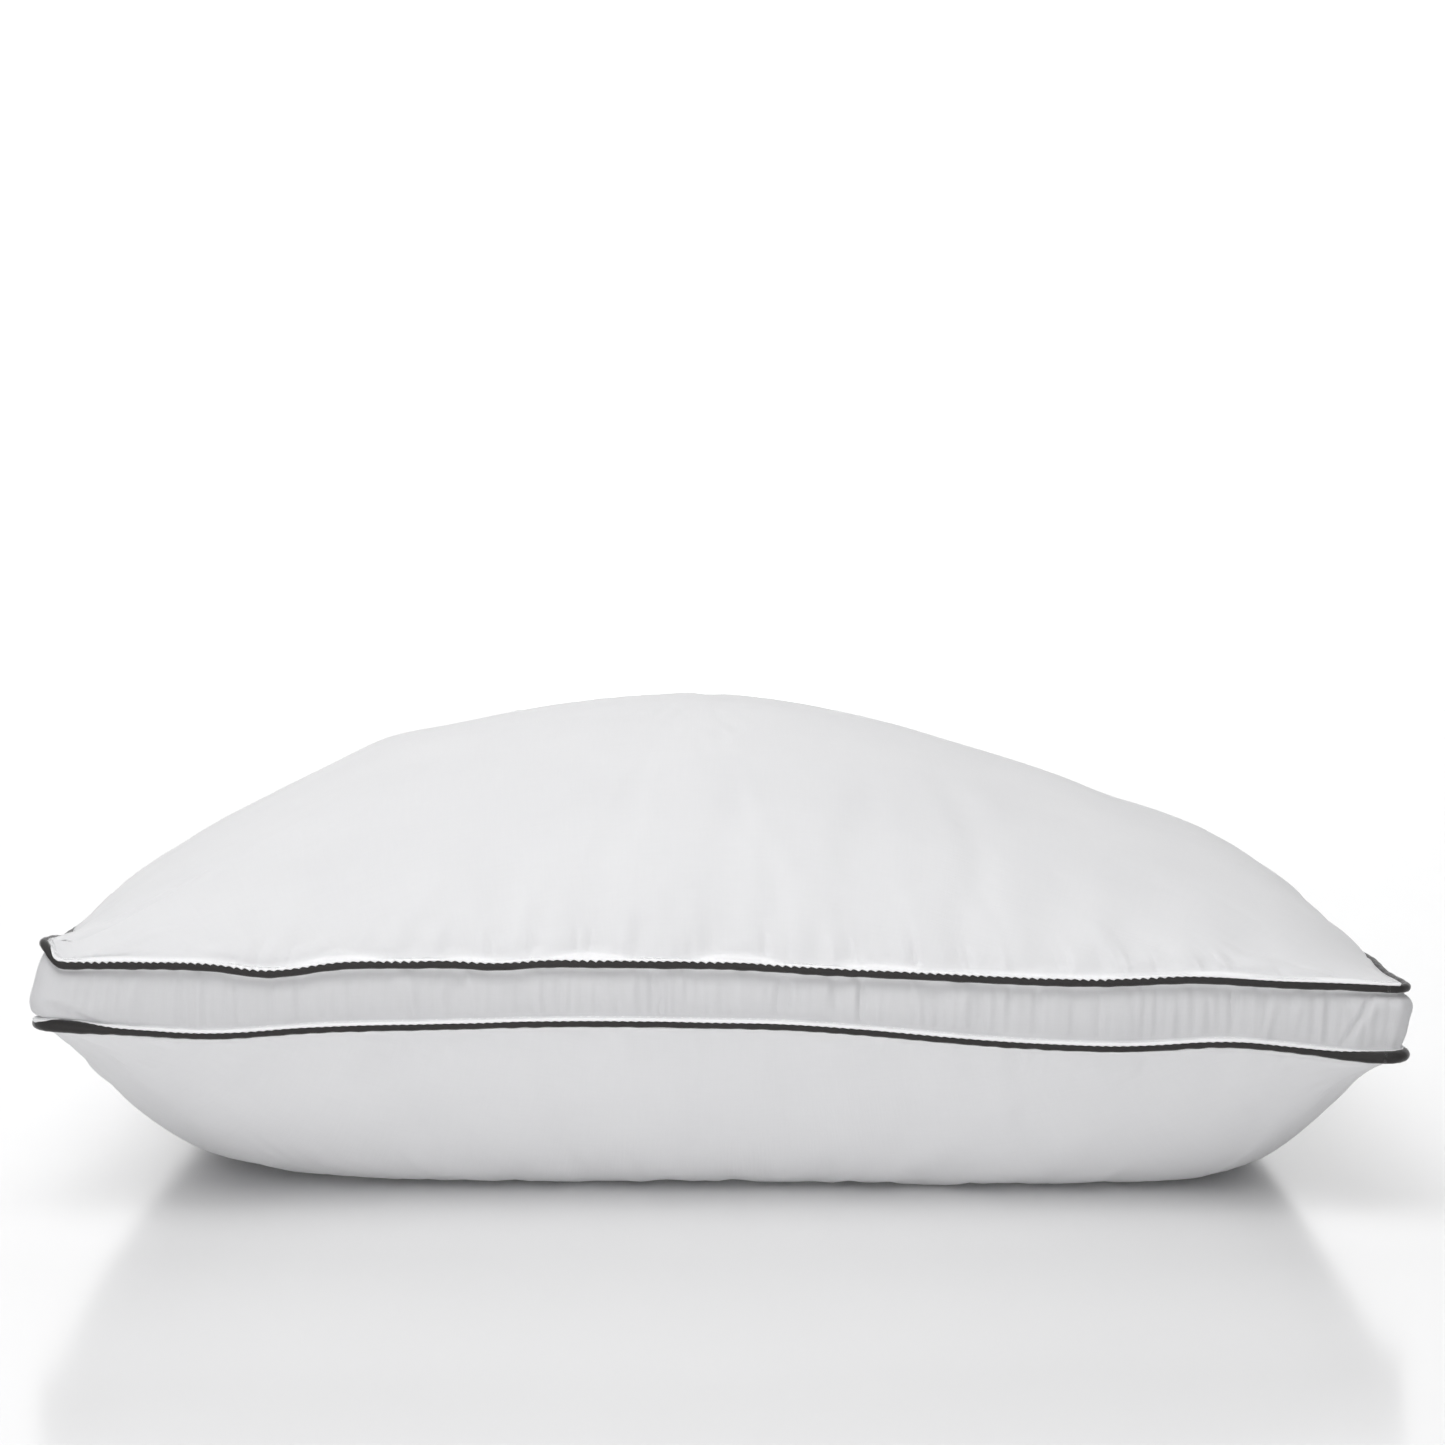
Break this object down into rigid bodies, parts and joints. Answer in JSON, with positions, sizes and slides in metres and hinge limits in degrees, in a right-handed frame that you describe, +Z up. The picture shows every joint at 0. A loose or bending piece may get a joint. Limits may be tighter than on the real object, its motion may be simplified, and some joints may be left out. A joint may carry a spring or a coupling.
{
  "type": "bed pillow",
  "caption": "Gusseted bed pillow lying flat: crowned cloth panels above and below an upright side band, dark corded piping along both seams, fibre fill inside.",
  "frame": {"origin": "middle of the pillow's bounding box at the height of the floor it lies on", "axes": "+X along the long side, +Y from the front side with the join in the band to the back side with the label, +Z up"},
  "size_m": [0.6478, 0.4816, 0.2273],
  "materials": {
    "panel_cloth": "fine white sateen weave, soft low sheen",
    "band_cloth": "the same white sateen, gathered",
    "piping_cloth": "charcoal sateen cut on the bias, slight sheen",
    "piping_core": "twisted undyed cotton cord",
    "fibre": "white polyester fibre",
    "thread": "white polyester sewing thread",
    "label_tape": "blank white satin tape"
  },
  "bodies": {
    "root": {"top_panel": "panel_cloth", "bottom_panel": "panel_cloth", "gusset_strip": "band_cloth", "upper_piping_cover": "piping_cloth", "upper_piping_cord": "piping_core", "lower_piping_cover": "piping_cloth", "lower_piping_cord": "piping_core", "fibre_fill": "fibre", "upper_edge_stitching": "thread", "lower_edge_stitching": "thread", "upper_overlock_thread": "thread", "lower_overlock_thread": "thread", "gusset_join_stitching": "thread", "closing_seam_stitching": "thread", "care_label": "label_tape", "care_label_stitching": "thread"}
  },
  "joints": []
}
